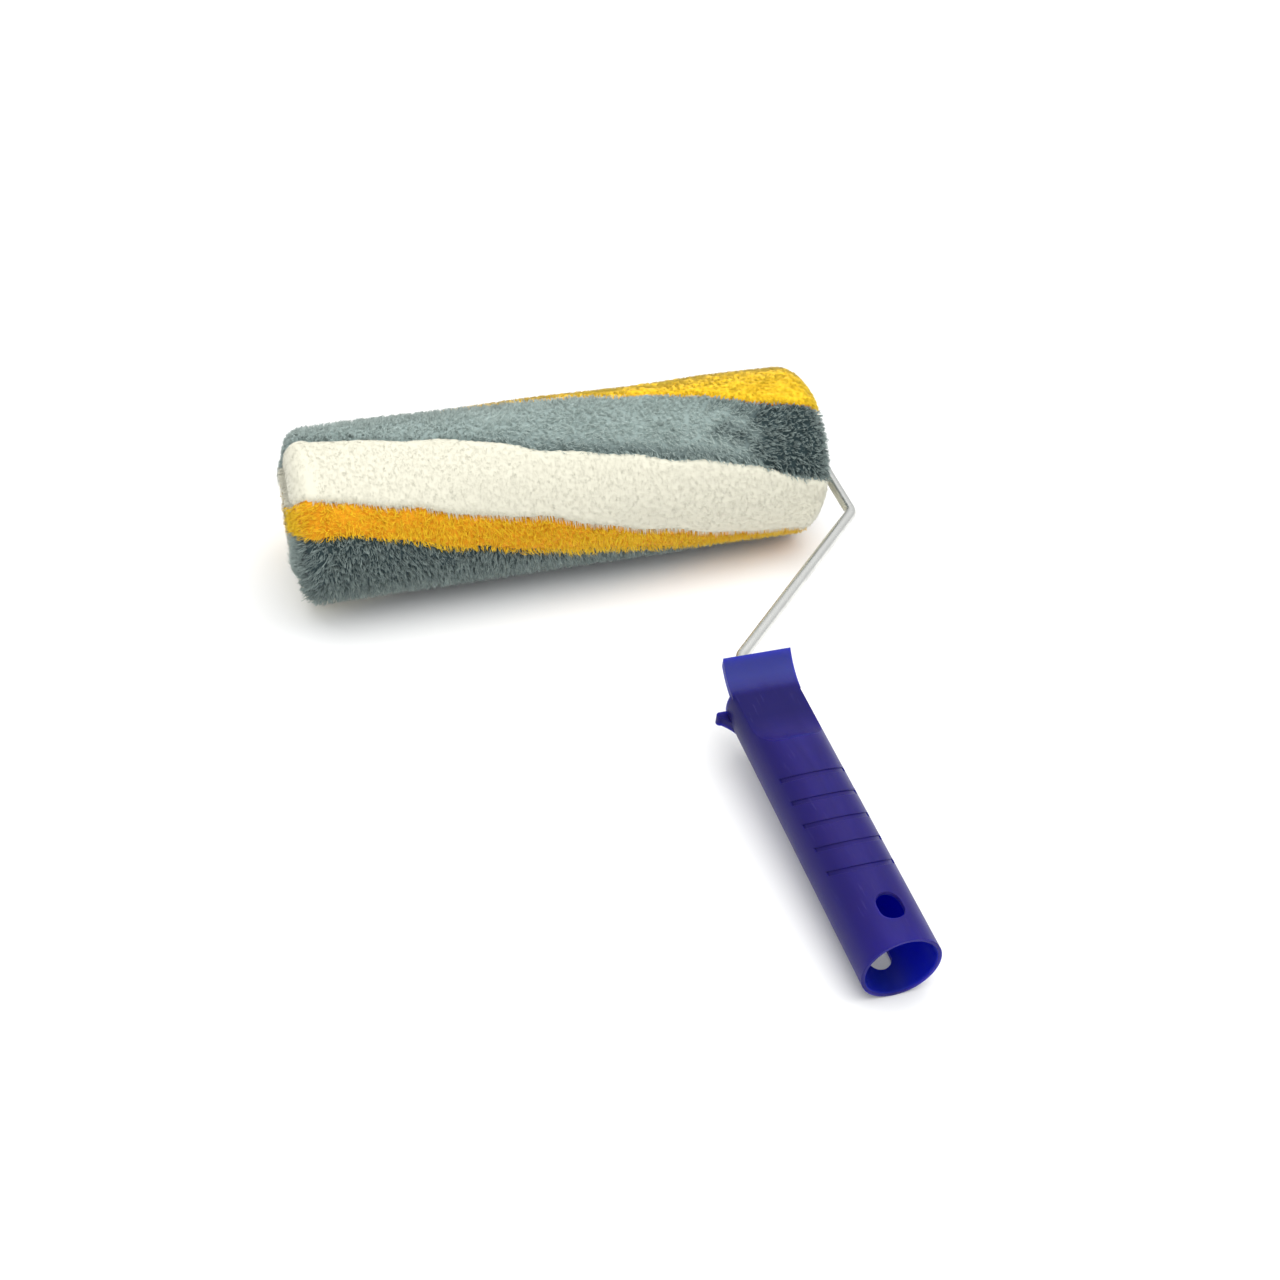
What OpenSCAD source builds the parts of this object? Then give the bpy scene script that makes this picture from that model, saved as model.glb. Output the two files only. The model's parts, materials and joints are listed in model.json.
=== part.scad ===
// Paint roller with a bent wire frame, a plush sleeve and a hollow moulded handle.
// Lies on a flat surface: the sleeve and the handle's open end both touch z = 0.
// X runs along the sleeve with the wire bends at +X, and the handle points to -Y.

/* [Sleeve] */
// Length of the sleeve over the pile
pile_len = 227; // [180:1:260]
// Outside diameter of the sleeve over the pile
pile_d = 75; // [66:0.5:84]
// Radius of the rounded pile at both ends
pile_end_r = 12; // [8:0.5:13]
// Outside diameter of the plastic core tube
core_d = 40; // [38:0.5:44]
// Wall thickness of the core tube
core_wall = 1.6; // [1.2:0.1:2.4]
// Distance from the core tube's end to the end of the pile
pile_overhang = 6.5; // [6:0.5:8]
// Thickness of the knitted backing
backing_t = 1.2; // [0.8:0.1:1.6]

/* [Wire frame] */
// Diameter of the steel wire
wire_d = 5; // [4:0.1:6]
// Centre-line radius of the wire's bends
bend_r = 6; // [5:0.5:8]
// Gap between the end of the pile and the wire beside it
drop_gap = 1; // [0.5:0.1:6]
// Length of the drop from the sleeve's axis to the second corner
drop_len = 46.5; // [44:0.5:70]
// Distance from the third corner to the lip of the thumb plate
neck_gap = 13; // [10:0.5:24]

/* [Handle] */
// Outside diameter of the handle's tube
handle_d = 30; // [28:0.5:34]
// Wall thickness of the handle's tube
handle_wall = 1.7; // [1.4:0.1:2.2]
// Length of the handle from its open mouth to the lip of the thumb plate
handle_len = 145; // [135:1:180]
// Offset of the handle from the middle of the sleeve
handle_x = 38.4; // [20:0.1:50]
// Distance from the sleeve's axis to the lip of the thumb plate
lip_y = 133.2; // [130:0.1:160]
// Number of curved grip grooves
groove_count = 5; // [3:1:5]
// Distance between grip grooves
groove_pitch = 11.4; // [9:0.1:12]

/* [Output] */
// Sub-part to build, or all of them

/* [Hidden] */
$fn = 96;
eps = 0.01;

// Sleeve
pile_r = pile_d / 2;
core_r = core_d / 2;
core_len = pile_len - 2 * pile_overhang;
backing_r = core_r + backing_t;

// End caps
cap_flange_t = 2.5;
cap_spigot_len = 12;
cap_spigot_wall = 2;
cap_recess_depth = 5;
cap_recess_r = 9;
cap_web_t = 2;
cap_hub_r = 5.5;
cap_hub_len = 14;
cap_rib_t = 1.2;
cap_rib_count = 6;
cap_rib_lap = 1;
cap_rib_short = 2;
running_gap = 0.06;
axial_gap = 0.4;
cap_face_x = core_len / 2 + cap_flange_t;
recess_floor_x = cap_face_x - cap_recess_depth;

// Washer and nut on the shaft
washer_r = 6.5;
washer_t = 1;
shaft_stub = 1.2;
nut_r = 6.2;
nut_t = 0.8;
nut_rim_t = 0.8;
nut_rim_h = 2;
nut_slot_w = 0.7;
nut_slot_r = 4.2;
nut_slot_count = 6;

// Wire
wire_r = wire_d / 2;
drop_x = pile_len / 2 + drop_gap + wire_r;
shaft_tip_x = -(recess_floor_x + axial_gap + nut_rim_h + shaft_stub);
shaft_tip_chamfer = 0.6;
bend_swell = 0.02;
bend_lap = 0.3;
ear_len = 2.6;
ear_w = 7;
ear_t = 1.8;
neck_corner_y = lip_y - neck_gap;
tang_len = 46;
tang_end_y = lip_y + tang_len;
wire_path = [
    [shaft_tip_x + shaft_tip_chamfer, 0],
    [drop_x, 0],
    [drop_x, -drop_len],
    [handle_x, -neck_corner_y],
    [handle_x, -tang_end_y]
];

// Handle, heights measured up from its open mouth
handle_r = handle_d / 2;
bore_r = handle_r - handle_wall;
plug_gap = 3;
bore_len = handle_len - tang_len - plug_gap;
mouth_chamfer = 0.5;
shoulder_drop = 11.2;
shoulder_h = handle_len - shoulder_drop;
plate_w = 27.8;
plate_front = 14.6;
plate_t = 2.8;
plate_curl_r = 24;
scoop_depth_z = 7.1;
scoop_floor_len = 30;
scoop_curve_h = handle_len - scoop_floor_len;
scoop_run = 16;
groove_front_h = 80;
groove_tilt = 36;
groove_w = 1.7;
groove_depth = 0.45;
groove_half_angle = 58;
slot_h = 16;
slot_w = 9.2;
slot_len = 11.8;
fin_reach = 4.1;
fin_t = 4;
fin_front = 2.7;
fin_drop = 11;
fin_tip_r = 1.7;
fin_root_in = 2;
fin_sweep = 1.7;
fin_steps = 12;
mouth_y = lip_y + handle_len;

// The object leans about the sleeve's axis until the mouth's lower edge is level with the sleeve's underside.
mouth_reach = sqrt(pow(mouth_y, 2) + pow(handle_r, 2));
lean = asin(pile_r / mouth_reach) - atan2(handle_r, mouth_y);

// The origin is under the middle of the whole outline.
mid_x = (drop_x + wire_r - pile_len / 2) / 2;
far_y = mouth_y * cos(lean) + handle_r * sin(lean);
mid_y = (pile_r - far_y) / 2;

// Radius of the circle that touches a level line and rises by `rise` over a distance `run`.
function rise_radius(run, rise) = (run * run + rise * rise) / (2 * rise);

// Angle of the direction from point a to point b.
function heading(a, b) = atan2(b[1] - a[1], b[0] - a[0]);

// Turn at corner i of a path, positive to the left.
function turn(path, i) =
    let (raw = heading(path[i], path[i + 1]) - heading(path[i - 1], path[i]))
    raw > 180 ? raw - 360 : (raw < -180 ? raw + 360 : raw);

// Length that a bend of radius r takes off the straight runs beside corner i.
function setback(path, i, r) = r * tan(abs(turn(path, i)) / 2);

// Moves a piece from the sleeve's own frame to where it lies on the surface.
module placed() {
    translate([-mid_x, -mid_y, pile_r])
        rotate([lean, 0, 0])
            children();
}

// Turns a piece drawn along Z so that it runs along X.
module along_x() {
    rotate([0, 90, 0])
        children();
}

// Round rod along a flat path, with round bends at its corners. The bends are a
// hair thicker than the straight runs, whose ends lap into them.
module bent_rod(path, rod_r, corner_r) {
    for (i = [0:len(path) - 2]) {
        run = norm(path[i + 1] - path[i]);
        start = i == 0 ? 0 : setback(path, i, corner_r) - bend_lap;
        stop = i == len(path) - 2 ? run : run - setback(path, i + 1, corner_r) + bend_lap;
        translate([path[i][0], path[i][1], 0])
            rotate([0, 0, heading(path[i], path[i + 1])])
                translate([start, 0, 0])
                    along_x()
                        cylinder(h = stop - start, r = rod_r);
    }
    for (i = [1:len(path) - 2]) {
        side = turn(path, i) > 0 ? 1 : -1;
        translate([path[i][0], path[i][1], 0])
            rotate([0, 0, heading(path[i - 1], path[i])])
                translate([-setback(path, i, corner_r), side * corner_r, 0])
                    rotate([0, 0, side > 0 ? -90 : 90 - abs(turn(path, i))])
                        rotate_extrude(angle = abs(turn(path, i)))
                            translate([corner_r, 0])
                                circle(r = rod_r + bend_swell);
    }
}

// Half of the pile's section: length along the first axis, radius along the second.
module pile_profile() {
    corner_x = pile_len / 2 - pile_end_r;
    corner_y = pile_r - pile_end_r;
    intersection() {
        union() {
            translate([-corner_x, 0])
                square([2 * corner_x, pile_r]);
            translate([-pile_len / 2, 0])
                square([pile_len, corner_y]);
            for (side = [-1, 1])
                translate([side * corner_x, corner_y])
                    circle(r = pile_end_r);
        }
        translate([-pile_len / 2, backing_r])
            square([pile_len, pile_r - backing_r]);
    }
}

module pile_cover() {
    color([0.72, 0.72, 0.66])
        placed()
            along_x()
                rotate_extrude()
                    rotate([0, 0, 90])
                        mirror([0, 1, 0])
                            pile_profile();
}

module knit_backing() {
    color([0.86, 0.84, 0.76])
        placed()
            along_x()
                difference() {
                    cylinder(h = core_len, r = backing_r, center = true);
                    cylinder(h = core_len + 2 * eps, r = core_r, center = true);
                }
}

module core_tube() {
    color([0.80, 0.80, 0.78])
        placed()
            along_x()
                difference() {
                    cylinder(h = core_len, r = core_r, center = true);
                    cylinder(h = core_len + 2 * eps, r = core_r - core_wall, center = true);
                }
}

// End cap with its outer face at z = 0 and its hub pointing to -Z.
module end_cap() {
    spigot_r = core_r - core_wall;
    inner_r = spigot_r - cap_spigot_wall;
    floor_z = -cap_recess_depth;
    rib_z = cap_rib_short - cap_flange_t - cap_spigot_len;
    rib_len = inner_r - cap_hub_r + 2 * cap_rib_lap;
    difference() {
        union() {
            translate([0, 0, -cap_flange_t])
                cylinder(h = cap_flange_t, r = core_r);
            translate([0, 0, -cap_flange_t - cap_spigot_len])
                difference() {
                    cylinder(h = cap_spigot_len + eps, r = spigot_r);
                    translate([0, 0, -eps])
                        cylinder(h = cap_spigot_len + eps, r = inner_r);
                }
            translate([0, 0, floor_z - cap_web_t])
                cylinder(h = cap_recess_depth + cap_web_t - eps, r = cap_recess_r + cap_web_t);
            translate([0, 0, floor_z - cap_hub_len])
                cylinder(h = cap_hub_len, r = cap_hub_r);
            for (i = [0:cap_rib_count - 1])
                rotate([0, 0, i * 360 / cap_rib_count])
                    translate([cap_hub_r - cap_rib_lap, -cap_rib_t / 2, rib_z])
                        cube([rib_len, cap_rib_t, cap_spigot_len - cap_rib_short + eps]);
        }
        translate([0, 0, floor_z])
            cylinder(h = cap_recess_depth + 1, r = cap_recess_r);
        translate([0, 0, floor_z - cap_hub_len - 1])
            cylinder(h = cap_hub_len + 2, r = wire_r + running_gap);
    }
}

module end_cap_wire_side() {
    color([0.16, 0.17, 0.19])
        placed()
            translate([cap_face_x, 0, 0])
                along_x()
                    end_cap();
}

module end_cap_far_side() {
    color([0.16, 0.17, 0.19])
        placed()
            mirror([1, 0, 0])
                translate([cap_face_x, 0, 0])
                    along_x()
                        end_cap();
}

module stop_washer() {
    color([0.72, 0.72, 0.70])
        placed()
            translate([recess_floor_x + axial_gap, 0, 0])
                along_x()
                    difference() {
                        cylinder(h = washer_t, r = washer_r);
                        translate([0, 0, -eps])
                            cylinder(h = washer_t + 2 * eps, r = wire_r);
                    }
}

module push_nut() {
    color([0.60, 0.60, 0.58])
        placed()
            mirror([1, 0, 0])
                translate([recess_floor_x + axial_gap, 0, 0])
                    along_x()
                        difference() {
                            cylinder(h = nut_rim_h, r = nut_r);
                            translate([0, 0, nut_t])
                                cylinder(h = nut_rim_h, r = nut_r - nut_rim_t);
                            translate([0, 0, -eps])
                                cylinder(h = nut_rim_h, r = wire_r);
                            for (i = [0:nut_slot_count - 1])
                                rotate([0, 0, i * 360 / nut_slot_count])
                                    translate([0, -nut_slot_w / 2, -eps])
                                        cube([nut_slot_r, nut_slot_w, nut_t + 2 * eps]);
                        }
}

module wire_frame() {
    ear_x = recess_floor_x + axial_gap + washer_t;
    color([0.74, 0.74, 0.70])
        placed() {
            bent_rod(wire_path, wire_r, bend_r);
            translate([shaft_tip_x, 0, 0])
                along_x()
                    cylinder(h = shaft_tip_chamfer, r1 = wire_r - shaft_tip_chamfer, r2 = wire_r);
            translate([ear_x, -ear_w / 2, -ear_t / 2])
                cube([ear_len, ear_w, ear_t]);
        }
}

// Side view of the curled thumb plate: depth towards the front, then height.
module plate_side() {
    foot = handle_len - shoulder_h;
    curl_rise = plate_front - scoop_depth_z;
    chord = sqrt(foot * foot + curl_rise * curl_rise);
    sag = sqrt(plate_curl_r * plate_curl_r - chord * chord / 4);
    centre_x = scoop_depth_z + curl_rise / 2 + sag * foot / chord;
    centre_y = shoulder_h + foot / 2 - sag * curl_rise / chord;
    difference() {
        intersection() {
            difference() {
                translate([centre_x, centre_y])
                    circle(r = plate_curl_r + plate_t, $fn = 192);
                translate([centre_x, centre_y])
                    circle(r = plate_curl_r, $fn = 192);
            }
            translate([-handle_r, shoulder_h - plate_t])
                square([2 * handle_r + plate_front, foot + plate_t]);
        }
        translate([plate_front, 0])
            square([handle_d, 2 * handle_len]);
    }
}

// Side view of the scoop in the neck: a level floor with a round run-out at its lower end.
module scoop_side() {
    run_r = rise_radius(scoop_run, handle_r - scoop_depth_z);
    translate([scoop_depth_z, scoop_curve_h])
        square([handle_d, handle_len]);
    intersection() {
        translate([scoop_depth_z + run_r, scoop_curve_h])
            circle(r = run_r, $fn = 192);
        translate([scoop_depth_z, scoop_curve_h - scoop_run])
            square([handle_r, scoop_run + eps]);
    }
}

// Extrudes a side view across the handle's width and stands it up, with depth towards -Y.
module from_side(width) {
    rotate([90, 0, -90])
        translate([0, 0, -width / 2])
            linear_extrude(height = width)
                children();
}

// One curved groove: a tilted flat ring that bites into the front of the tube.
module grip_groove() {
    reach = handle_r * sin(groove_half_angle);
    intersection() {
        translate([0, -handle_r, 0])
            rotate([groove_tilt, 0, 0])
                translate([-reach, -handle_r, -groove_w / 2])
                    cube([2 * reach, 3 * handle_r, groove_w]);
        difference() {
            translate([0, 0, -handle_d])
                cylinder(h = 2 * handle_d, r = handle_r + 1);
            translate([0, 0, -handle_d - 1])
                cylinder(h = 2 * handle_d + 2, r = handle_r - groove_depth);
        }
        translate([-reach, -handle_r - 1, -handle_d])
            cube([2 * reach, handle_r, 2 * handle_d]);
    }
}

// Round-ended hanging slot through both walls.
module hanging_slot() {
    straight = slot_len - slot_w;
    depth = handle_d + 2;
    translate([0, -depth / 2, slot_h])
        rotate([-90, 0, 0]) {
            for (side = [-1, 1])
                translate([0, side * straight / 2, 0])
                    cylinder(h = depth, r = slot_w / 2);
            translate([-slot_w / 2, -straight / 2, 0])
                cube([slot_w, straight, depth]);
        }
}

// Side hook that hangs the tool on the edge of a bucket or tray.
module side_hook() {
    root = handle_r - fin_root_in;
    tip_x = handle_r + fin_reach - fin_tip_r;
    under_h = shoulder_h - 2 * fin_tip_r;
    under_drop = fin_drop - 2 * fin_tip_r;
    underside = [
        for (i = [0:fin_steps])
            let (t = i / fin_steps)
            [-root - (tip_x - root) * pow(1 - t, fin_sweep), under_h - under_drop * t]
    ];
    translate([0, fin_front + fin_t, 0])
        rotate([90, 0, 0])
            linear_extrude(height = fin_t) {
                polygon(concat([[-root, shoulder_h], [-tip_x, shoulder_h]], underside));
                translate([-tip_x, shoulder_h - fin_tip_r])
                    circle(r = fin_tip_r);
            }
}

module handle() {
    color([0.17, 0.15, 0.50])
        placed()
            translate([handle_x, -mouth_y, 0])
                rotate([-90, 0, 0])
                    difference() {
                        union() {
                            difference() {
                                cylinder(h = shoulder_h, r = handle_r);
                                from_side(2 * handle_d)
                                    scoop_side();
                                for (i = [0:groove_count - 1])
                                    translate([0, 0, groove_front_h - i * groove_pitch])
                                        grip_groove();
                            }
                            from_side(plate_w)
                                plate_side();
                            side_hook();
                        }
                        translate([0, 0, -1])
                            cylinder(h = bore_len + 1, r = bore_r);
                        translate([0, 0, -eps])
                            cylinder(h = mouth_chamfer, r1 = bore_r + mouth_chamfer, r2 = bore_r);
                        hanging_slot();
                        translate([0, 0, mouth_y - tang_end_y])
                            cylinder(h = handle_len, r = wire_r);
                    }
}

pile_cover();
knit_backing();
core_tube();
end_cap_wire_side();
end_cap_far_side();
stop_washer();
push_nut();
wire_frame();
handle();
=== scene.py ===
"""Paint roller: the looks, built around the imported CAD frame, in metres and in its axes."""

import json
import math

import bpy
import numpy as np
from mathutils import Matrix, Vector


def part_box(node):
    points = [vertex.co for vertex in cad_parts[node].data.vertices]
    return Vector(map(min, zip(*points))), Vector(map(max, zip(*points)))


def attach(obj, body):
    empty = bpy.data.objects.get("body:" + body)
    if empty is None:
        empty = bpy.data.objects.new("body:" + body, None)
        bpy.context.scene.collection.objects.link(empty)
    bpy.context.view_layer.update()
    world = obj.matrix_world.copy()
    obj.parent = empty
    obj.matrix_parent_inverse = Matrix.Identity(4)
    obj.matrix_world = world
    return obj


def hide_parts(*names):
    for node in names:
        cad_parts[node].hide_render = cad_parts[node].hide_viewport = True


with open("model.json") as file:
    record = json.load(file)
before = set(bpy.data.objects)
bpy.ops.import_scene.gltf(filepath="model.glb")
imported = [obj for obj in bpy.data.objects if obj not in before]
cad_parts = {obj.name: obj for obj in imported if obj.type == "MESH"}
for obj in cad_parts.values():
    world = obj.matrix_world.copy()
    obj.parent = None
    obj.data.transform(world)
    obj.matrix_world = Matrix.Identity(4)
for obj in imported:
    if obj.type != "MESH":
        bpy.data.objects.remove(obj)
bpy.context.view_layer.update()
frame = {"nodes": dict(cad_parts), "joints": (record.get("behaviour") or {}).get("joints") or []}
nodes = frame["nodes"]
scene = bpy.context.scene
scene.view_settings.view_transform = "Standard"
scene.view_settings.look = "None"
scene.cycles.diffuse_bounces = 7  # light passes between many pale strands

MM = 0.001
CLUMPS, QUICK_CLUMPS = 26000, 11000  # tufts over the whole sleeve
END_STRANDS = 3600  # strands that bloom over one end
PIECE_STRANDS = 20000  # most strands in one piece
STRAND_LEN = 6.0  # mm, from a strand's root to its tip when upright
TUFT_R = 0.55 * MM  # how widely a tuft's strands are scattered
SEAM_SINK, SEAM_WIDTH = 0.9 * MM, 1.5 * MM  # the dip in the pile between two stripes
STRAND_POINTS = 7  # three at the root, three at the bend, one at the tip
WIRE_ROOM = 0.8 * MM  # how far the pile may stand out beside the wire
rng = np.random.default_rng(41)


# ---------------------------------------------------------------- camera
def add_camera():
    """The photograph's viewpoint."""
    data = bpy.data.cameras.new("camera")
    data.lens = 59.97
    data.sensor_width = 36.0
    data.clip_start = 0.01
    cam = bpy.data.objects.new("camera", data)
    scene.collection.objects.link(cam)
    right = Vector((0.94358, -0.32443, 0.06634))
    forward = Vector((0.29343, 0.72628, -0.62162))
    up = right.cross(forward)
    turn = Matrix((right, up, -forward)).transposed()
    at = (-0.2461, -0.58979, 0.55041)
    cam.matrix_world = Matrix.Translation(at) @ turn.to_4x4()
    scene.camera = cam


add_camera()


# ---------------------------------------------------------------- small node language
class Mat:
    """A material with a Principled shader and short calls for its nodes."""

    def __init__(self, name, color, rough, **plain):
        self.m = bpy.data.materials.new(name)
        self.m.use_nodes = True
        self.nt = self.m.node_tree
        self.p = self.nt.nodes["Principled BSDF"]
        self.put("Base Color", (*color, 1.0))
        self.put("Roughness", rough)
        for key, value in plain.items():
            self.put(key.replace("_", " "), value)

    def put(self, socket, value):
        if isinstance(value, bpy.types.NodeSocket):
            self.nt.links.new(value, self.p.inputs[socket])
        else:
            self.p.inputs[socket].default_value = value

    def node(self, kind, **inputs):
        n = self.nt.nodes.new(kind)
        for key, value in inputs.items():
            self.into(n, key.replace("_", " "), value)
        return n

    def into(self, n, key, value):
        socket = n.inputs[int(key)] if key.isdigit() else n.inputs[key]
        if isinstance(value, bpy.types.NodeSocket):
            self.nt.links.new(value, socket)
        else:
            socket.default_value = value

    def coords(self, scale=(1, 1, 1), turn=(0, 0, 0)):
        c = self.nt.nodes.new("ShaderNodeTexCoord")
        m = self.node("ShaderNodeMapping", Scale=scale, Rotation=turn)
        self.nt.links.new(c.outputs["Object"], m.inputs["Vector"])
        return m.outputs[0]

    def noise(self, vector, scale, detail=3.0, rough=0.55, distort=0.0):
        n = self.node("ShaderNodeTexNoise", Scale=scale, Detail=detail,
                      Roughness=rough, Distortion=distort)
        self.nt.links.new(vector, n.inputs["Vector"])
        return n.outputs["Fac"]

    def range(self, value, lo, hi, to_lo=0.0, to_hi=1.0):
        n = self.nt.nodes.new("ShaderNodeMapRange")
        for i, v in enumerate((value, lo, hi, to_lo, to_hi)):
            self.into(n, str(i), v)
        return n.outputs[0]

    def math(self, op, a, b=0.0):
        n = self.nt.nodes.new("ShaderNodeMath")
        n.operation = op
        self.into(n, "0", a)
        self.into(n, "1", b)
        return n.outputs[0]

    def mix(self, fac, a, b, blend="MIX"):
        n = self.nt.nodes.new("ShaderNodeMix")
        n.data_type = "RGBA"
        n.blend_type = blend
        for i, v in ((0, fac), (6, a), (7, b)):
            if isinstance(v, tuple) and len(v) == 3:
                v = (*v, 1.0)
            self.into(n, str(i), v)
        return n.outputs[2]

    def split(self, vector):
        n = self.nt.nodes.new("ShaderNodeSeparateXYZ")
        self.nt.links.new(vector, n.inputs[0])
        return n.outputs

    def bump(self, height, distance, strength=1.0, normal=None):
        n = self.node("ShaderNodeBump", Height=height, Distance=distance, Strength=strength)
        if normal is not None:
            self.nt.links.new(normal, n.inputs["Normal"])
        return n.outputs[0]

    def soft_edges(self, radius):
        n = self.node("ShaderNodeBevel", Radius=radius)
        n.samples = 4
        return n.outputs[0]


# ---------------------------------------------------------------- pile layout
lo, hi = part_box("pile_cover")
axis_at = np.array([j for j in frame["joints"] if j["name"] == "sleeve_spin"][0]["pos_m"])
HALF = (hi.x - lo.x) / 2
OUT_R = (hi.z - lo.z) / 2
back_lo, back_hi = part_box("knit_backing")
IN_R = (back_hi.z - back_lo.z) / 2 + 0.05 * MM
END_R = 9.5 * MM  # how round the pile's two ends are
FLARE = 5.0  # mm that the far end's pile stands out where it is brushed out
FLARE_AT = 146  # degrees round the sleeve
# name, start angle at mid length, degrees for each mm along, more degrees at the ends, kind
STRIPES = (
    ("grey_top", 65.7, 0.437, 0.0, "grey"),
    ("white_front", 124.2, 0.370, 4.0, "white"),
    ("yellow_front", 176.4, 0.410, 4.0, "yellow"),
    ("grey_under", 202.8, 0.415, 2.0, "grey"),
    ("white_back", 279.2, 0.410, 2.0, "white"),
    ("yellow_back", 352.2, 0.420, 1.0, "yellow"),
)


def smooth(a, b, v):
    """0 at a, 1 at b, with an easy start and stop."""
    t = np.clip((v - a) / (b - a), 0, 1)
    return t * t * (3 - 2 * t)


def waves(seed, count, kx, kt):
    """A smooth random field over the sleeve that closes round it; about -1 to 1."""
    r = np.random.default_rng(seed)
    fx = r.uniform(-kx, kx, count)
    ft = r.integers(-kt, kt + 1, count)
    ph = r.uniform(0, 2 * np.pi, count)
    return lambda x, th: sum(
        np.sin(a * x / MM + b * np.radians(th) + p) for a, b, p in zip(fx, ft, ph)
    ) / math.sqrt(count)


def edge_angle(k, x):
    """Where stripe k starts, in degrees round the sleeve, at x from its middle."""
    _, start, turn, at_ends, _ = STRIPES[k]
    r = np.random.default_rng(70 + k)
    wob = sum(
        a * np.sin(x / MM * f + r.uniform(0, 6.28))
        for a, f in ((1.3, 0.055), (1.0, 0.11), (0.7, 0.23))
    )
    return start + turn * x / MM + at_ends * (x / HALF) ** 4 + wob


def stripe_of(x, th):
    """Stripe index, and the angles back to its start and on to its end."""
    edges = np.stack([edge_angle(k, x) for k in range(6)])
    since = (th[None] - edges) % 360
    k = since.argmin(0)
    past = np.take_along_axis(since, k[None], 0)[0]
    ahead = ((edges - th[None]) % 360).min(0)
    return k, past, ahead


FACE = OUT_R - END_R - IN_R
ARC = END_R * math.pi / 2
FLAT = 2 * (HALF - END_R)
RUN = 2 * FACE + 2 * ARC + FLAT


def profile(s):
    """The pile's outer outline: x, radius and outward direction at s along it."""
    s = np.asarray(s, float)
    left = np.minimum(s, RUN - s)
    a = np.clip((left - FACE) / END_R, 0, math.pi / 2)
    x = -HALF + END_R * (1 - np.cos(a)) + np.clip(left - FACE - ARC, 0, None)
    r = IN_R + np.clip(left, 0, FACE) + END_R * np.sin(a)
    nx, nr = -np.cos(a), np.sin(a)
    flip = s > RUN / 2
    return np.where(flip, -x, x), r, np.where(flip, -nx, nx), nr


def around(x, r, th):
    """Points at x from the sleeve's middle, r from its axis and th degrees round it."""
    t = np.radians(th)
    return np.stack([x, r * np.cos(t), r * np.sin(t)], -1) + axis_at


def directions(nx, nr, th):
    """Unit vectors out of the pile, round the sleeve, and square to both."""
    t = np.radians(th)
    n = np.stack([nx, nr * np.cos(t), nr * np.sin(t)], -1)
    turn = np.stack([0 * t, -np.sin(t), np.cos(t)], -1)
    along = np.cross(turn, n)
    return n, turn, along


def spread(count):
    """Evenly scattered places on the outline: s, and angle in degrees."""
    table = np.linspace(0, RUN, 2000)
    area = np.cumsum(profile(table)[1])
    i = np.arange(count)
    s = np.interp((i * 0.7548776662) % 1, area / area[-1], table)
    th = 360 * ((i * 0.5698402910) % 1)
    return s + rng.normal(0, 0.45 * MM, count), th + rng.normal(0, 0.7, count)


swell = waves(5, 9, 0.09, 5)
sway = waves(6, 9, 0.12, 7)
sway2 = waves(7, 9, 0.14, 8)
ruffle = waves(8, 12, 0.5, 22)


def flare_round(th):
    """The far end's pile is brushed out on one side of the sleeve and laid flat on the other."""
    return smooth(-0.25, 0.65, np.cos(np.radians(th - FLARE_AT)))


def surface_lift(x, th, nx, past, ahead):
    """How far the pile stands above its outline: swells, sinks at seams, flares at the far end."""
    seam = np.minimum(past, ahead) * OUT_R * math.pi / 180
    flare = FLARE * smooth(0.10, 0.95, -nx) * flare_round(th)
    return (-0.75 + 0.35 * swell(x, th) + 0.08 * ruffle(x, th) + flare) * MM - (
        SEAM_SINK * np.exp(-((seam / SEAM_WIDTH) ** 2)))


def upright(x, th, k, past, ahead):
    """1 where the pile stands up and takes painted shade, 0 where it is combed flat: all of the
    lower grey stripe, which faces down, the upper grey's right end, and a band along the upper
    grey's lower edge.
    """
    deep = np.zeros_like(x)
    # painted shade over the whole lower grey stripe, which faces down
    deep[k == UNDER_GREY] = 1.0
    top = k == TOP_GREY
    seam = ahead * OUT_R * math.pi / 180
    # the upper grey's right end stands up, with painted shade between its tufts
    part = smooth(58 * MM, 86 * MM, x + 6 * MM * ruffle(x, th))
    # painted shade in a band along the upper grey's lower edge, as in a shadowed gap before the
    # white
    low = 0.55 * smooth(9 * MM, 1 * MM, seam) * smooth(-70 * MM, 10 * MM, x)
    deep[top] = np.maximum(part, low)[top]
    return deep


YARN = np.array((  # by stripe: clump pull, height jitter, lean, lean jitter, curl,
    # and the share of the surface's own normal in a strand's shading
    (0.46, 0.34, 0.46, 0.24, 0.30, 0.60),
    (0.05, 0.06, 0.74, 0.03, 0.04, 0.96),
    (0.58, 0.50, 0.18, 0.32, 0.55, 0.48),
    (0.30, 0.40, 0.40, 0.24, 0.30, 0.55),
    (0.05, 0.06, 0.74, 0.03, 0.04, 0.96),
    (0.15, 0.20, 0.70, 0.12, 0.22, 0.88),
))
EACH = np.array([4, 6, 5, 4, 6, 7])  # strands in a tuft, by stripe
KINDS = ("grey", "white", "yellow")
KIND_OF = np.array([KINDS.index(st[4]) for st in STRIPES])
GREY, WHITE = 0, 1
TOP_GREY, UNDER_GREY, BACK_YELLOW = 0, 3, 5


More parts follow.
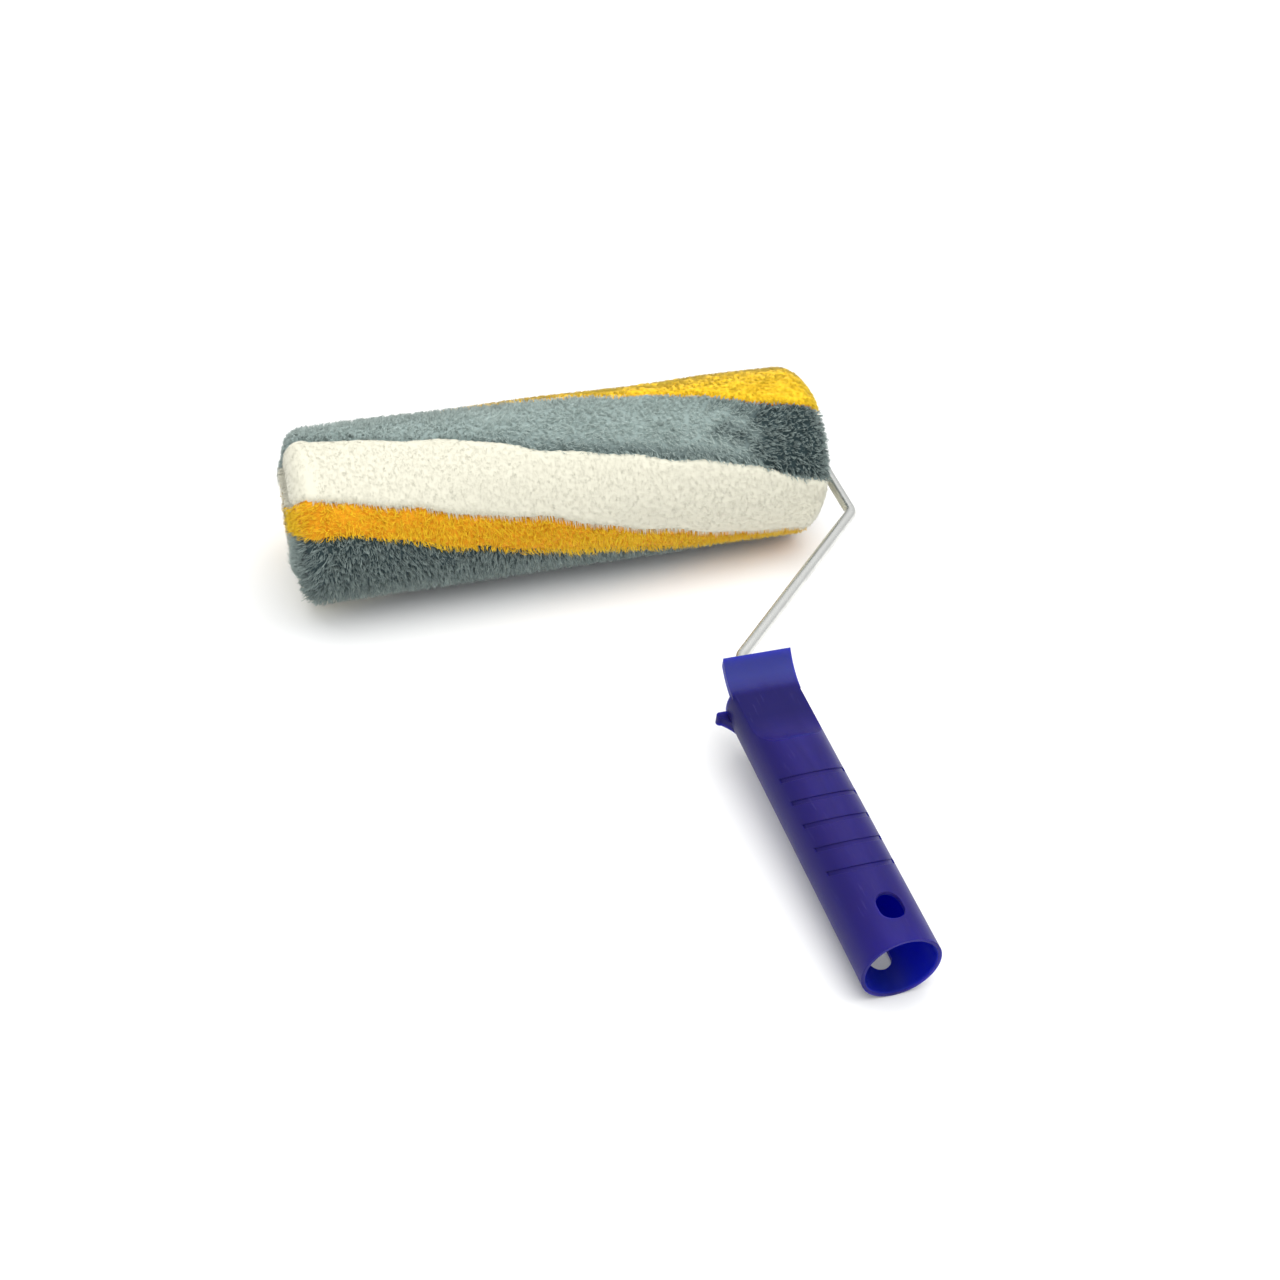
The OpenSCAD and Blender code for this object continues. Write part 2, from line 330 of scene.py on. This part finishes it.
def mesh_from(name, verts, faces, mats, slots=None, tone=None, normals=None,
              smooth_faces=True):
    """An object from arrays. tone holds, for each point: place along the strand, own tone, and the
    amount of painted shade.
    """
    me = bpy.data.meshes.new(name)
    me.vertices.add(len(verts))
    me.vertices.foreach_set("co", np.asarray(verts, np.float32).reshape(-1))
    corners = faces.shape[1]
    me.loops.add(faces.size)
    me.loops.foreach_set("vertex_index", faces.astype(np.int32).reshape(-1))
    me.polygons.add(len(faces))
    me.polygons.foreach_set("loop_start", np.arange(0, faces.size, corners, dtype=np.int32))
    for m in mats:
        me.materials.append(m)
    if slots is not None:
        me.polygons.foreach_set("material_index", slots.astype(np.int32))
    me.polygons.foreach_set("use_smooth", np.full(len(faces), smooth_faces))
    if tone is not None:
        a = me.attributes.new("tone", "FLOAT_COLOR", "POINT")
        full = np.ones((len(verts), 4), np.float32)
        full[:, :3] = tone
        a.data.foreach_set("color", full.reshape(-1))
    me.update()
    me.validate()
    if normals is not None:
        me.normals_split_custom_set_from_vertices(normals)
    ob = bpy.data.objects.new(name, me)
    scene.collection.objects.link(ob)
    return ob


def pile_material(kind):
    """Yarn whose colour runs from root to tip, and goes to a painted shade colour where the pile
    stands open, most toward the roots.
    """
    # tip, root and deep colours by kind; deep is the painted shade between the fibres
    tip, root, deep = {
        "grey": ((0.475, 0.565, 0.53), (0.30, 0.385, 0.37), (0.018, 0.038, 0.043)),
        "white": ((0.735, 0.715, 0.587), (0.725, 0.70, 0.572), (0.705, 0.67, 0.546)),
        "yellow": ((1.0, 0.71, 0.026), (0.80, 0.25, 0.002), (0.60, 0.13, 0.001)),
    }[kind]
    m = Mat("pile_" + kind, tip, 0.85, Sheen_Weight=0.25, Sheen_Roughness=0.45)
    m.put("Specular IOR Level", 0.2)
    a = m.nt.nodes.new("ShaderNodeAttribute")
    a.attribute_name = "tone"
    along, own, painted_shade = m.split(a.outputs["Vector"])[:3]
    grain = m.noise(m.coords(), 900.0, 2.0)
    patch = m.noise(m.coords(), 60.0, 3.0)
    body = m.mix(m.range(along, 0.1, 0.95), root, tip)
    body = m.mix(m.range(own, 0.25, 1.0, 0.0, 0.4), body, root)
    body = m.mix(m.range(patch, 0.35, 0.75, 0.0, 0.12), body, root)
    body = m.mix(m.range(grain, 0.35, 0.7, 0.0, 0.2), body, tip)
    # painted shade: mixes toward the deep colour by the painted shade channel, most toward the roots
    body = m.mix(m.math("MULTIPLY", painted_shade, m.range(along, 0.3, 0.95, 1.0, 0.5)), body, deep)
    m.put("Base Color", body)
    m.put("Roughness", m.range(grain, 0.3, 0.7, 0.72, 0.95))
    return m.m


pile_mats = {kind: pile_material(kind) for kind in KINDS}


def main_strands():
    """Tufts over the whole outline: root, middle and tip of each strand, with its looks."""
    clumps = CLUMPS
    s, th = spread(clumps)
    s = np.clip(s, 0.2 * MM, RUN - 0.2 * MM)
    cx, cr, _, _ = profile(s)
    each = EACH[stripe_of(cx, th)[0]]
    own = np.repeat(np.arange(clumps), each)
    n = len(own)
    ds = rng.normal(0, TUFT_R, n)
    dth = np.degrees(rng.normal(0, TUFT_R, n) / cr[own])
    ps, pth = np.clip(s[own] + ds, 0.1 * MM, RUN - 0.1 * MM), th[own] + dth
    x, r, nx, nr = profile(ps)
    k, _, _ = stripe_of(cx[own] + 0.4 * ds, th[own] + 0.4 * dth + rng.normal(0, 0.8, n))
    _, past, ahead = stripe_of(x, pth)
    pull, hjit, lean, leanjit, curl, flat = YARN[k].T
    deep = upright(x, pth, k, past, ahead)
    edges = np.stack([edge_angle(q, x) for q in range(6)])
    start = ((pth - edges[k, np.arange(n)] + 180) % 360 - 180) * OUT_R * math.pi / 180
    lean = lean * (1 - 0.7 * deep) * (0.15 + 0.85 * smooth(0, 6 * MM, start))
    pull = np.clip(pull + 0.30 * deep, 0, 0.82)
    flat = flat * (1 - 0.5 * deep)
    nrm, turn, along = directions(nx, nr, pth)
    radial = directions(np.zeros(n), np.ones(n), pth)[0]
    facing = nrm + radial * (0.8 * smooth(0.3, 1.0, np.abs(nx)))[:, None]
    lift = surface_lift(x, pth, nx, past, ahead)
    tuft_h, tuft_a, tuft_b = rng.normal(0, 1, (3, clumps))
    length = (STRAND_LEN + rng.uniform(-0.8, 0.8, n)) * MM
    loose = 0.04 + 0.3 * leanjit
    side_a = lean + leanjit * (0.6 * tuft_a[own] + 0.35 * sway(x, pth))
    side_a = side_a + loose * rng.normal(0, 1, n)
    side_b = leanjit * (0.7 * tuft_b[own] + 0.5 * sway2(x, pth))
    side_b = side_b + loose * rng.normal(0, 1, n)
    top = lift + hjit * (0.55 * tuft_h[own] + rng.normal(0, 0.55, n)) * (1 + 0.9 * deep) * MM
    top -= 2.0 * MM * smooth(2.4 * MM, 0.4 * MM, start)
    p = around(x, r, pth)
    edge = ahead * OUT_R * math.pi / 180
    grey = KIND_OF[k] == GREY
    fringe = rng.uniform(0.2, 2.8, n) + np.clip(tuft_h[own], -0.6, 1.6) * grey
    hang = smooth(4.5 * MM, 0, edge) * fringe * MM
    top += np.where(grey, 1.5, 0.5) * MM * smooth(3.5 * MM, 0.5 * MM, edge)
    tip = p + nrm * top[:, None] + turn * hang[:, None]
    tip = tip + turn * (0.15 * side_a * length)[:, None]
    tip = tip + along * (0.15 * side_b * length)[:, None]
    centre = np.zeros((clumps, 3))
    np.add.at(centre, own, tip)
    centre /= each[:, None]
    pulled = tip + (centre[own] - tip) * pull[:, None]
    pulled += nrm * (np.einsum("ij,ij->i", tip - pulled, nrm) * 0.7)[:, None]
    root = p - nrm * (length - top)[:, None] - turn * (side_a * length)[:, None]
    root -= along * (side_b * length)[:, None]
    mid = root + (pulled - root) * 0.70 + nrm * (0.09 * length)[:, None]
    mid += rng.normal(0, 1, (n, 3)) * (curl * 0.14 * length)[:, None]
    pulled += rng.normal(0, 1, (n, 3)) * (curl * 0.10 * length)[:, None]
    # painted shade along each grey stripe's edge, where its fringe hangs over the next stripe
    edge_shade = 0.45 * smooth(4 * MM, 0.3 * MM, edge) * grey
    tuft_tone = rng.uniform(0, 1, clumps)
    tone = np.clip(0.6 * tuft_tone[own] + 0.4 * rng.uniform(0, 1, n), 0, 1)
    # painted light: the back yellow stripe, on the sleeve's upper back, is kept near its tip colour,
    # lighter than the front yellow
    tone[k == BACK_YELLOW] *= 0.2
    shade = deep * np.clip(0.5 + 0.75 * tone - 0.12 * tuft_h[own], 0.35, 1)
    return root, mid, pulled, facing, k, tone, np.maximum(shade, edge_shade), flat


def end_strands(side):
    """Long pile that blooms over one end of the sleeve and part way in over its cap."""
    n = END_STRANDS
    th = rng.uniform(0, 360, n)
    k, past, ahead = stripe_of(np.full(n, side * HALF), th)
    out, turn, _ = directions(np.full(n, float(side)), np.zeros(n), th)
    inward = -directions(np.zeros(n), np.ones(n), th)[0]
    flare = flare_round(th) * FLARE * MM * (side < 0)
    root = around(side * (HALF - rng.uniform(4.6, 7.2, n) * MM + 0.5 * flare),
                  IN_R + rng.uniform(0.2, 3.4, n) * MM, th)
    reach = rng.uniform(3.6, 5.6, n) * MM
    mid = root + out * (reach + 0.5 * flare)[:, None]
    mid = mid + inward * (rng.uniform(-0.6, 1.2, n) * MM)[:, None]
    fall = np.radians(rng.uniform(5, 100, n))
    far = rng.uniform(2.6, 7.6, n) * MM
    tip = mid + out * (np.cos(fall) * far)[:, None] + inward * (np.sin(fall) * far)[:, None]
    sweep = rng.normal(0.25, 0.25, n) * far
    mid += turn * (0.3 * sweep)[:, None]
    tip += turn * sweep[:, None]
    # painted shade in the grey strands that bloom over the ends
    deep = np.where(np.isin(k, (TOP_GREY, UNDER_GREY)), 0.35, 0.0)
    return root, mid, tip, out - 0.8 * inward, k, rng.uniform(0, 0.7, n), deep, np.full(n, 0.5)


def make_pile():
    """Every strand as a thin tapered spike with one bend, in pieces by stripe and length."""
    parts = [main_strands(), end_strands(-1), end_strands(1)]
    root, mid, tip, nrm, k, own, deep, flat = (np.concatenate(c) for c in zip(*parts))
    n = len(k)
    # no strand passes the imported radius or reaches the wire; the far end may flare past its length
    for q in (mid, tip):
        away = q - axis_at
        cut = np.minimum(1, (OUT_R - 0.05 * MM) / np.hypot(away[:, 1], away[:, 2]))
        q[:, 1] = axis_at[1] + away[:, 1] * cut
        q[:, 2] = axis_at[2] + away[:, 2] * cut
        out = flare_round(np.degrees(np.arctan2(away[:, 2], away[:, 1]))) * FLARE * MM
        out = out * rng.uniform(0.72, 1.22, n) + rng.uniform(-0.3, 0.9, n) * MM
        q[:, 0] = axis_at[0] + np.clip(away[:, 0], -HALF - 0.4 * MM - out, HALF + WIRE_ROOM)
    run = tip - root
    run /= np.linalg.norm(run, axis=1)[:, None]
    u = np.cross(run, np.array([0.31, 0.52, 0.79]))
    u /= np.linalg.norm(u, axis=1)[:, None]
    v = np.cross(run, u)
    thick = rng.uniform(0.115, 0.165, n) * MM
    spin = rng.uniform(0, 2 * np.pi, n)
    verts, normals = np.empty((n, STRAND_POINTS, 3)), np.empty((n, STRAND_POINTS, 3))
    for c in range(3):
        a = spin + c * 2 * np.pi / 3
        off = u * np.cos(a)[:, None] + v * np.sin(a)[:, None]
        verts[:, c] = root + off * thick[:, None]
        verts[:, 3 + c] = mid + off * thick[:, None] * 0.95
        normals[:, c] = normals[:, 3 + c] = off * (1 - flat)[:, None] + nrm * flat[:, None]
    verts[:, 6] = tip
    normals[:, 6] = nrm
    normals /= np.linalg.norm(normals, axis=2)[:, :, None]
    faces = []
    for c in range(3):
        d = (c + 1) % 3
        faces += [(c, d, 3 + d), (c, 3 + d, 3 + c), (3 + c, 3 + d, 6)]
    faces = np.array(faces)
    tone = np.empty((n, STRAND_POINTS, 3))
    tone[:, :3, 0], tone[:, 3:6, 0], tone[:, 6, 0] = 0.0, 0.80, 1.0
    tone[:, :, 1] = own[:, None]
    tone[:, :, 2] = np.clip(deep, 0, 1)[:, None]
    for i, (name, _, _, _, kind) in enumerate(STRIPES):
        stripe = np.flatnonzero(k == i)
        stripe = stripe[np.argsort(tip[stripe, 0])]
        lengths = np.array_split(stripe, math.ceil(len(stripe) / PIECE_STRANDS))
        for j, pick in enumerate(lengths):
            first = np.arange(len(pick)) * STRAND_POINTS
            f = (faces[None] + first[:, None, None]).reshape(-1, 3)
            ob = mesh_from(f"pile_{name}_{j + 1}", verts[pick].reshape(-1, 3), f,
                           [pile_mats[kind]], tone=tone[pick].reshape(-1, 3),
                           normals=normals[pick].reshape(-1, 3))
            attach(ob, "sleeve")
            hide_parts("pile_cover")


def make_undercoat():
    """The dense foot of the pile, under the loose strands: a closed sleeve with clumpy skin."""
    ns, nt = 180, 300
    s = np.linspace(0, RUN, ns)
    th = np.arange(nt) * 360 / nt
    S, T = np.meshgrid(s, th, indexing="ij")
    x, r, nx, nr = profile(S.reshape(-1))
    t = T.reshape(-1)
    k, past, ahead = stripe_of(x, t)
    n, _, _ = directions(nx, nr, t)
    rough = np.random.default_rng(9).normal(0, 0.35, len(x))
    deep = upright(x, t, k, past, ahead)
    sink = np.array([2.0, 0.63, 2.0, 2.0, 0.63, 1.0])[k] + 0.5 * deep
    white = KIND_OF[k] == WHITE
    sink += rough * np.where(white, 0.13, 1.0)
    sink = (sink + 0.3 * ruffle(x, t) * ~white) * MM
    sink -= surface_lift(x, t, nx, past, ahead)
    sink *= smooth(-2.0 * MM, 5 * MM, np.minimum(S, RUN - S).reshape(-1))
    outer = around(x, r, t) - n * sink[:, None]
    inner = np.stack([around(np.full(nt, q), np.full(nt, IN_R), th)
                      for q in (HALF - 3 * MM, -HALF + 3 * MM)])
    verts = np.concatenate([outer, inner.reshape(-1, 3)])
    rows = ns + 2
    i, j = np.meshgrid(np.arange(rows), np.arange(nt), indexing="ij")
    i2, j2 = (i + 1) % rows, (j + 1) % nt
    quads = np.stack([i * nt + j, i * nt + j2, i2 * nt + j2, i2 * nt + j], -1).reshape(-1, 4)
    face_k = np.concatenate([k, k[-nt:], k[:nt]])[quads[:, 0]]
    slots = KIND_OF[face_k]
    tone = np.zeros((len(verts), 3))
    tone[:, 0] = 0.35
    tone[:, 1] = 0.4
    # painted light: the back yellow's foot is given a lighter tone, near the tip colour
    tone[: len(x), 0][k == BACK_YELLOW] = 0.85
    tone[: len(x), 1][k == BACK_YELLOW] = 0.1
    # painted shade at the foot of the pile, except under white, and more where the pile stands up
    tone[: len(x), 2] = 0.2 * ~white + 0.8 * deep
    ob = mesh_from("pile_undercoat", verts, quads,
                   [pile_mats[q] for q in KINDS], slots, tone)
    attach(ob, "sleeve")
    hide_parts("pile_cover")


make_pile()
make_undercoat()


# ---------------------------------------------------------------- knitted backing
def make_backing():
    """The knitted cloth that the pile grows from, wrapped tight round the core."""
    core_lo, core_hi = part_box("core_tube")
    half = (back_hi.x - back_lo.x) / 2
    mid_x = (back_hi.x + back_lo.x) / 2
    r_in = (core_hi.z - core_lo.z) / 2 + 0.02 * MM
    r_out = (back_hi.z - back_lo.z) / 2 - 0.1 * MM
    ns, nt = 150, 132
    x = np.linspace(-half, half, ns)
    th = np.arange(nt) * 360 / nt
    X, T = np.meshgrid(x, th, indexing="ij")
    wale = np.radians(T) * 44  # columns of stitches round the core
    rib = 0.09 * MM * np.cos(wale) + 0.05 * MM * np.cos(X / MM * 2.1 + wale)
    outer = around(X.reshape(-1), (r_out - 0.14 * MM + rib).reshape(-1), T.reshape(-1))
    inner = around(X[::-1].reshape(-1), np.full(ns * nt, r_in), T.reshape(-1))
    verts = np.concatenate([outer, inner])
    verts[:, 0] += mid_x - axis_at[0]
    rows = 2 * ns
    i, j = np.meshgrid(np.arange(rows), np.arange(nt), indexing="ij")
    i2, j2 = (i + 1) % rows, (j + 1) % nt
    quads = np.stack([i * nt + j, i * nt + j2, i2 * nt + j2, i2 * nt + j], -1).reshape(-1, 4)
    m = Mat("backing_knit", (0.80, 0.77, 0.68), 0.9, Sheen_Weight=0.15)
    v = m.coords()
    loops = m.noise(m.coords((1400, 500, 500)), 1.0, 2.0)
    tint = m.mix(m.noise(v, 90.0), (0.84, 0.81, 0.73), (0.70, 0.66, 0.56))
    m.put("Base Color", m.mix(m.range(loops, 0.35, 0.65, 0.0, 0.5), tint, (0.58, 0.54, 0.46)))
    m.put("Roughness", m.range(loops, 0.3, 0.7, 0.8, 0.98))
    m.put("Normal", m.bump(loops, 0.0002, 0.6))
    ob = mesh_from("backing_knit", verts, quads, [m.m])
    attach(ob, "sleeve")
    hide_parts("knit_backing")


make_backing()


# ---------------------------------------------------------------- finishes on the CAD nodes
def dress(node, mat):
    """Puts a finish on a CAD node, shaded smooth. Its shape stays as it is."""
    ob = nodes[node]
    ob.data.materials.clear()
    ob.data.materials.append(mat.m)
    for p in ob.data.polygons:
        p.use_smooth = True


h_lo, h_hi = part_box("handle")
LEAN = math.atan2(0.081054, 0.99671)  # the frame's slope to the ground
TUBE_R = 15 * MM  # the handle's tube
LIP_Y = 133.2 * MM  # from the sleeve's axis to the thumb plate's lip


def handle_plastic():
    """Moulded blue plastic with flow marks and fine scratches; its colour carries painted shade on
    the left flank and in the thumb scoop, painted light on the thumb plate, and a painted glow
    inside the bore.
    """
    m = Mat("handle_plastic", (0.02, 0.015, 0.14), 0.4, Specular_IOR_Level=0.11,
            Subsurface_Weight=0.45, Subsurface_Scale=0.001)
    m.put("Subsurface Radius", (0.3, 0.6, 14.0))
    v = m.coords()
    flow = m.noise(m.coords((160, 14, 160), (-LEAN, 0, 0)), 1.0, 4.0, 0.6, 0.6)
    cloud = m.noise(v, 26.0, 3.0)
    fine = m.noise(v, 1800.0, 2.0)
    scratch = m.noise(m.coords((900, 70, 900), (0.0, 0.1, 0.2)), 1.0, 2.0)
    worn = m.range(m.noise(v, 60.0, 2.0), 0.45, 0.7)
    marks = m.math("MULTIPLY", m.range(scratch, 0.62, 0.70), worn)
    c = m.mix(m.range(flow, 0.3, 0.7), (0.016, 0.012, 0.120), (0.022, 0.017, 0.160))
    c = m.mix(m.range(cloud, 0.35, 0.75, 0.0, 0.45), c, (0.024, 0.012, 0.112))
    # the handle's own frame: x across, y from the sleeve's axis to the lip, z out of its front
    own = m.node("ShaderNodeMapping", Location=(-(h_hi.x - TUBE_R), -axis_at[1], -axis_at[2]))
    m.nt.links.new(v, own.inputs["Vector"])
    level = m.node("ShaderNodeMapping", Rotation=(-LEAN, 0, 0))
    m.nt.links.new(own.outputs[0], level.inputs["Vector"])
    x, y, z = m.split(level.outputs[0])[:3]
    radius = m.math("SQRT", m.math("ADD", m.math("MULTIPLY", x, x), m.math("MULTIPLY", z, z)))
    below_lip = m.math("SUBTRACT", -LIP_Y, y)
    # painted light: the bore's inside is a brighter, purer blue, for light glowing through the thin
    # walls
    bore_glow = m.math("MULTIPLY", m.range(radius, TUBE_R - 1.2 * MM, TUBE_R - 1.5 * MM),
                  m.range(below_lip, 0.040, 0.046))
    # painted light: the thumb plate, which faces the light, is a lighter, bluer colour
    plate = m.math("MULTIPLY", m.range(below_lip, 0.0130, 0.0065), m.range(radius, 6 * MM, 8 * MM))
    # painted shade on the floor of the thumb scoop
    scoop_shade = m.math("MULTIPLY", m.range(below_lip, 0.009, 0.014), m.range(below_lip, 0.036, 0.026))
    scoop_shade = m.math("MULTIPLY", scoop_shade, m.range(z, 9.5 * MM, 7.5 * MM))
    # painted shade down the handle's left flank
    flank_shade = m.range(x, -0.006, -0.0125)
    c = m.mix(m.math("MULTIPLY", flank_shade, 0.7), c, (0.012, 0.008, 0.104))
    c = m.mix(m.math("MULTIPLY", scoop_shade, 0.8), c, (0.008, 0.006, 0.084))
    c = m.mix(m.math("MULTIPLY", plate, 0.8), c, (0.036, 0.045, 0.200))
    c = m.mix(bore_glow, c, (0.006, 0.012, 0.205))
    c = m.mix(m.math("MULTIPLY", marks, 0.07), c, (0.20, 0.19, 0.52))
    m.put("Base Color", c)
    rough = m.range(cloud, 0.3, 0.75, 0.34, 0.46)
    rough = m.math("ADD", rough, m.range(fine, 0.3, 0.7, -0.04, 0.05))
    m.put("Roughness", m.math("ADD", rough, m.math("MULTIPLY", marks, 0.2)))
    height = m.math("ADD", m.math("MULTIPLY", fine, 0.25), m.math("MULTIPLY", flow, 0.8))
    height = m.math("SUBTRACT", height, m.math("MULTIPLY", marks, 0.6))
    m.put("Normal", m.bump(height, 0.00007, 0.55, m.soft_edges(0.0005)))
    return m


def zinc(name, base, rough, spot=None):
    """Dull plating with drawing lines. The wire has a brownish spot where it enters the handle."""
    m = Mat(name, base, rough, Metallic=1.0)
    v = m.coords()
    lines = m.noise(m.coords((1500, 60, 1500), (-LEAN, 0, 0)), 1.0, 3.0)
    lines2 = m.noise(m.coords((60, 1500, 1500), (-LEAN, 0, 0)), 1.0, 3.0)
    x, y, _ = m.split(m.nt.nodes.new("ShaderNodeTexCoord").outputs["Object"])[:3]
    # past this y the wire runs across, so its drawing lines do too
    cross = m.math("GREATER_THAN", y, spot[1] + 0.06 if spot else 1.0)
    draw = m.math("ADD", m.math("MULTIPLY", lines, m.math("SUBTRACT", 1.0, cross)),
                  m.math("MULTIPLY", lines2, cross))
    bloom = m.noise(v, 120.0, 4.0, 0.6)
    dark = tuple(c * 0.72 for c in base)
    c = m.mix(m.range(bloom, 0.42, 0.72, 0.0, 0.55), (*base, 1.0), (*dark, 1.0))
    c = m.mix(m.range(draw, 0.4, 0.7, 0.0, 0.28), c, (*dark, 1.0))
    r = m.math("ADD", m.range(bloom, 0.35, 0.75, rough - 0.05, rough + 0.14),
               m.range(draw, 0.35, 0.7, -0.02, 0.07))
    if spot:
        at = m.node("ShaderNodeVectorMath")
        at.operation = "DISTANCE"
        m.nt.links.new(v, at.inputs[0])
        at.inputs[1].default_value = spot
        near = m.range(at.outputs["Value"], 0.0055, 0.0012)
        brown_spot = m.math("MULTIPLY", near, m.range(m.noise(v, 700.0, 4.0, 0.7), 0.42, 0.6))
        c = m.mix(m.math("MULTIPLY", brown_spot, 0.8), c, (0.28, 0.15, 0.06))
        r = m.math("ADD", r, m.math("MULTIPLY", brown_spot, 0.4))
    m.put("Base Color", c)
    m.put("Roughness", r)
    m.put("Normal", m.bump(draw, 0.00004, 0.5))
    return m


def plain_plastic(name, base, rough, dust):
    """Plain moulded plastic with a little dust."""
    m = Mat(name, base, rough)
    v = m.coords()
    cloud = m.noise(v, 70.0, 4.0)
    fine = m.noise(v, 2200.0, 2.0)
    light, dark = tuple(b * 1.1 for b in base), tuple(b * 0.8 for b in base)
    c = m.mix(m.range(cloud, 0.35, 0.75, 0.0, 0.6), light, dark)
    m.put("Base Color", m.mix(m.range(fine, 0.55, 0.75, 0.0, 0.16), c, dust))
    m.put("Roughness", m.range(cloud, 0.3, 0.75, rough - 0.06, rough + 0.1))
    m.put("Normal", m.bump(fine, 0.00005, 0.5, m.soft_edges(0.0003)))
    return m


neck_spot = ((h_lo.x + h_hi.x) / 2 + 0.004, h_hi.y + 0.012, 0.036)
dress("handle", handle_plastic())
dress("wire_frame", zinc("wire_zinc", (0.72, 0.72, 0.69), 0.25, neck_spot))
dress("stop_washer", zinc("washer_zinc", (0.72, 0.72, 0.70), 0.30))
dress("push_nut", zinc("nut_spring_steel", (0.42, 0.42, 0.43), 0.34))
cap_mat = plain_plastic("cap_black", (0.022, 0.024, 0.028), 0.42, (0.12, 0.12, 0.12))
dress("end_cap_wire_side", cap_mat)
dress("end_cap_far_side", cap_mat)
dress("core_tube", plain_plastic("core_grey", (0.55, 0.55, 0.52), 0.5, (0.7, 0.7, 0.67)))


# ---------------------------------------------------------------- stage
def make_stage():
    """A plain pale floor, a hair below the ground so that nothing fights with it."""
    m = Mat("floor_paper", (0.92, 0.92, 0.92), 0.9, Specular_IOR_Level=0.1)
    tint = m.noise(m.coords(), 3.0)
    m.put("Base Color", m.mix(tint, (0.925, 0.925, 0.925), (0.935, 0.935, 0.93)))
    q, z = 3.0, -0.0002
    v = np.array([(-q, -q, z), (q, -q, z), (q, q, z), (-q, q, z)])
    ob = mesh_from("floor", v, np.array([[0, 1, 2, 3]]), [m.m], smooth_faces=False)


def area(name, at, to, size, power, color):
    """A soft rectangular light at a place, facing another."""
    data = bpy.data.lights.new(name, "AREA")
    data.shape = "RECTANGLE"
    data.size, data.size_y = size
    data.energy = power
    data.color = color
    ob = bpy.data.objects.new(name, data)
    ob.location = at
    ob.rotation_euler = (Vector(to) - Vector(at)).to_track_quat("-Z", "Y").to_euler()
    scene.collection.objects.link(ob)


def make_world():
    """Soft room light: brightest overhead and a little to the front, dimmer low down."""
    world = bpy.data.worlds.new("world")
    world.use_nodes = True
    nt = world.node_tree
    at = nt.nodes.new("ShaderNodeTexCoord")
    dot = nt.nodes.new("ShaderNodeVectorMath")
    dot.operation = "DOT_PRODUCT"
    dot.inputs[1].default_value = (0.14, -0.20, 0.97)
    ramp = nt.nodes.new("ShaderNodeMapRange")
    for i, value in enumerate((-0.40, 0.95, 0.40, 1.10), start=1):
        ramp.inputs[i].default_value = value
    nt.links.new(at.outputs["Generated"], dot.inputs[0])
    nt.links.new(dot.outputs["Value"], ramp.inputs[0])
    back = nt.nodes["Background"]
    back.inputs[0].default_value = (0.97, 0.985, 1.0, 1)
    nt.links.new(ramp.outputs[0], back.inputs[1])
    scene.world = world


make_stage()
make_world()
area("top", (0.10, -0.18, 1.5), (0, 0, 0), (1.7, 1.6), 18.0, (1.0, 0.99, 0.97))
